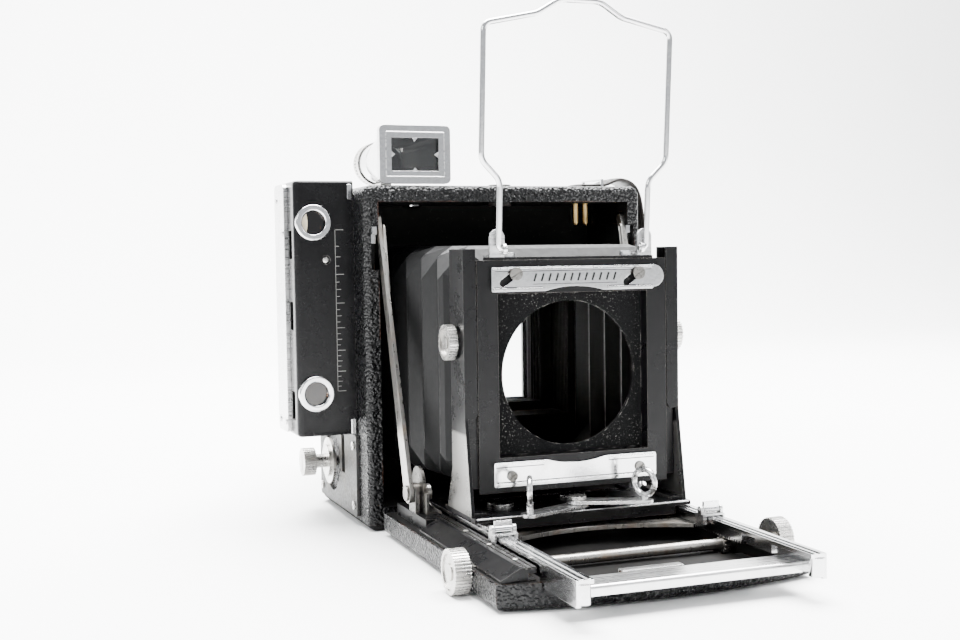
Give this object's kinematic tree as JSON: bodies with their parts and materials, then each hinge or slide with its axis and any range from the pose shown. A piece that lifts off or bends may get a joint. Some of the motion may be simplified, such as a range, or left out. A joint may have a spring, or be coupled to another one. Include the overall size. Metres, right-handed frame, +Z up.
{
  "type": "press camera",
  "caption": "Folding plate camera with drop bed, sliding front standard, leather bellows, wire frame finder, side range finder and a ground glass back.",
  "frame": {"origin": "centre of the tripod bush's mouth in the base", "axes": "+Z up, -Y is the lens side, +X is the strap side"},
  "size_m": [0.1726, 0.3262, 0.2092],
  "materials": {
    "leather": "coarse grain, satin",
    "strap_leather": "smooth",
    "black_wood": "painted matte black",
    "black_enamel": "worn gloss enamel",
    "flocked_black": "flocked",
    "bellows": "matte folded leathercloth",
    "curtain_cloth": "rubberised cloth",
    "chrome": "polished",
    "satin_nickel": "satin",
    "steel": "bare steel",
    "brass": "dull",
    "satin_plate": "satin grey",
    "glass": "clear",
    "ground_glass": "ground",
    "mirror": "silvered"
  },
  "bodies": {
    "camera_body": {"body_box": "black_wood", "body_leather": "leather", "film_gate": "black_enamel", "shutter_curtain": "curtain_cloth", "shutter_side_plate": "satin_plate", "case_screws": "satin_nickel", "rangefinder_housing": "black_enamel", "rangefinder_cover": "satin_plate", "rangefinder_rings": "chrome", "finder_glasses": "glass", "fixed_mirror": "mirror", "viewfinder_housing": "chrome", "sight_mounts": "satin_nickel", "case_fittings": "chrome", "hand_strap": "strap_leather", "tripod_bushes": "brass", "back_frame": "black_enamel", "back_springs": "steel", "bed_hinge": "steel", "bellows_rear": "bellows"},
    "bed": {"bed_panel": "black_wood", "bed_leather": "leather", "bed_guides": "black_enamel", "strut_lugs": "steel", "bellows_middle": "bellows"},
    "focus_pinion": {"focus_shaft": "steel", "focus_knobs": "satin_nickel"},
    "focus_track": {"track_rails": "chrome", "track_bars": "chrome", "track_yoke": "steel", "bellows_front": "bellows"},
    "infinity_stop_left": {"infinity_stop_left": "chrome"},
    "infinity_stop_right": {"infinity_stop_right": "chrome"},
    "standard": {"standard_base": "black_enamel", "standard_uprights": "black_enamel", "clamp_studs": "satin_nickel", "bellows_collar": "bellows"},
    "pinch_lever_left": {"pinch_lever_left": "chrome"},
    "pinch_lever_right": {"pinch_lever_right": "chrome"},
    "rise_knob_left": {"rise_knob_left": "satin_nickel"},
    "rise_knob_right": {"rise_knob_right": "satin_nickel"},
    "lens_frame": {"lens_frame": "black_enamel", "lens_board": "flocked_black", "lower_clip": "chrome", "clip_screws": "satin_nickel", "hoop_brackets": "chrome"},
    "upper_clip": {"upper_clip": "chrome"},
    "wire_hoop": {"wire_hoop": "steel"},
    "strut_left": {"strut_left": "steel"},
    "strut_right": {"strut_right": "steel"},
    "winding_roller": {"winding_roller": "satin_nickel"},
    "tension_roller": {"tension_roller": "satin_nickel"},
    "shutter_release": {"shutter_release": "satin_nickel"},
    "swing_mirror": {"swing_mirror": "mirror"},
    "parallax_ring": {"parallax_ring": "satin_nickel"},
    "bed_latch_button": {"bed_latch_button": "strap_leather"},
    "peep_sight": {"peep_sight": "satin_nickel"},
    "focusing_back": {"focusing_frame": "black_enamel", "ground_glass": "ground_glass"},
    "focusing_lid": {"focusing_lid": "black_enamel"}
  },
  "joints": [
    {"name": "bed_fold", "type": "hinge", "parent": "camera_body", "child": "bed", "pos_m": [0, -0.042, 0.005], "axis": [-1, 0, 0], "range_deg": [0, 20], "deforming": ["bellows_rear"]},
    {"name": "strut_left_turn", "type": "hinge", "parent": "bed", "child": "strut_left", "pos_m": [-0.056, -0.07, 0.0215], "axis": [-1, 0, 0], "range_deg": [-9.3, 0]},
    {"name": "strut_right_turn", "type": "hinge", "parent": "bed", "child": "strut_right", "pos_m": [0.056, -0.07, 0.0215], "axis": [-1, 0, 0], "range_deg": [-9.3, 0]},
    {"name": "focus_slide", "type": "slide", "parent": "bed", "child": "focus_track", "axis": [0, -1, 0], "range_m": [-0.0075, 0.03], "deforming": ["bellows_middle"]},
    {"name": "focus_turn", "type": "hinge", "parent": "bed", "child": "focus_pinion", "pos_m": [0, -0.145, 0.008], "axis": [1, 0, 0], "range_deg": [-150, 580]},
    {"name": "infinity_stop_left_fold", "type": "hinge", "parent": "focus_track", "child": "infinity_stop_left", "pos_m": [-0.0417, -0.134, 0.0186], "axis": [1, 0, 0], "range_deg": [0, 85]},
    {"name": "infinity_stop_right_fold", "type": "hinge", "parent": "focus_track", "child": "infinity_stop_right", "pos_m": [0.0417, -0.134, 0.0186], "axis": [1, 0, 0], "range_deg": [0, 85]},
    {"name": "standard_slide", "type": "slide", "parent": "focus_track", "child": "standard", "axis": [0, -1, 0], "range_m": [-0.02, 0.016], "deforming": ["bellows_front"]},
    {"name": "pinch_left_turn", "type": "hinge", "parent": "standard", "child": "pinch_lever_left", "pos_m": [-0.0015, -0.1095, 0.019], "axis": [0, 0, 1], "range_deg": [0, 12], "stiffness_Nm_per_rad": 0.05},
    {"name": "pinch_right_turn", "type": "hinge", "parent": "standard", "child": "pinch_lever_right", "pos_m": [-0.0015, -0.1095, 0.019], "axis": [0, 0, 1], "range_deg": [-12, 0], "stiffness_Nm_per_rad": 0.05},
    {"name": "rise_knob_left_turn", "type": "hinge", "parent": "standard", "child": "rise_knob_left", "pos_m": [-0.048, -0.095, 0.082], "axis": [1, 0, 0], "range_deg": [0, 180]},
    {"name": "rise_knob_right_turn", "type": "hinge", "parent": "standard", "child": "rise_knob_right", "pos_m": [0.048, -0.095, 0.082], "axis": [1, 0, 0], "range_deg": [-180, 0]},
    {"name": "lens_rise", "type": "slide", "parent": "standard", "child": "lens_frame", "axis": [0, 0, 1], "range_m": [-0.003, 0.012], "deforming": ["bellows_collar"]},
    {"name": "board_clip_slide", "type": "slide", "parent": "lens_frame", "child": "upper_clip", "axis": [0.816, 0, 0.578], "range_m": [0, 0.0055]},
    {"name": "hoop_fold", "type": "hinge", "parent": "lens_frame", "child": "wire_hoop", "pos_m": [0, -0.1055, 0.1165], "axis": [1, 0, 0], "range_deg": [0, 130]},
    {"name": "winding_turn", "type": "hinge", "parent": "camera_body", "child": "winding_roller", "pos_m": [0, 0.018, 0.124], "axis": [1, 0, 0], "continuous": true, "deforming": ["shutter_curtain"]},
    {"name": "tension_turn", "type": "hinge", "parent": "camera_body", "child": "tension_roller", "pos_m": [0, 0.018, 0.0225], "axis": [1, 0, 0], "continuous": true},
    {"name": "release_press", "type": "slide", "parent": "camera_body", "child": "shutter_release", "axis": [0, 0, -1], "range_m": [0, 0.004], "stiffness_N_per_m": 150},
    {"name": "swing_mirror_turn", "type": "hinge", "parent": "camera_body", "child": "swing_mirror", "pos_m": [-0.081, -0.0085, 0.0573], "axis": [1, 0, 0], "range_deg": [-2, 3]},
    {"name": "parallax_turn", "type": "hinge", "parent": "camera_body", "child": "parallax_ring", "pos_m": [-0.0376, 0.032, 0.1575], "axis": [0, 1, 0], "range_deg": [-60, 60]},
    {"name": "latch_press", "type": "slide", "parent": "camera_body", "child": "bed_latch_button", "axis": [0, 0, -1], "range_m": [0, 0.0012], "stiffness_N_per_m": 300},
    {"name": "peep_raise", "type": "hinge", "parent": "camera_body", "child": "peep_sight", "pos_m": [0, 0.04075, 0.1462], "axis": [-1, 0, 0], "range_deg": [0, 90]},
    {"name": "focusing_back_slide", "type": "slide", "parent": "camera_body", "child": "focusing_back", "axis": [0, 1, 0], "range_m": [0, 0.008], "stiffness_N_per_m": 400, "deforming": ["back_springs"]},
    {"name": "lid_fold", "type": "hinge", "parent": "focusing_back", "child": "focusing_lid", "pos_m": [0, 0.0538, 0.1105], "axis": [-1, 0, 0], "range_deg": [0, 88]}
  ],
  "couplings": [
    {"joint": "strut_left_turn", "follows": "bed_fold", "ratio": -0.465},
    {"joint": "strut_right_turn", "follows": "bed_fold", "ratio": -0.465},
    {"joint": "focus_turn", "follows": "focus_slide", "rad_per_m": 333.33},
    {"joint": "swing_mirror_turn", "follows": "focus_slide", "rad_per_m": 1.5},
    {"joint": "pinch_right_turn", "follows": "pinch_left_turn", "ratio": -1},
    {"joint": "tension_turn", "follows": "winding_turn", "ratio": 1}
  ]
}
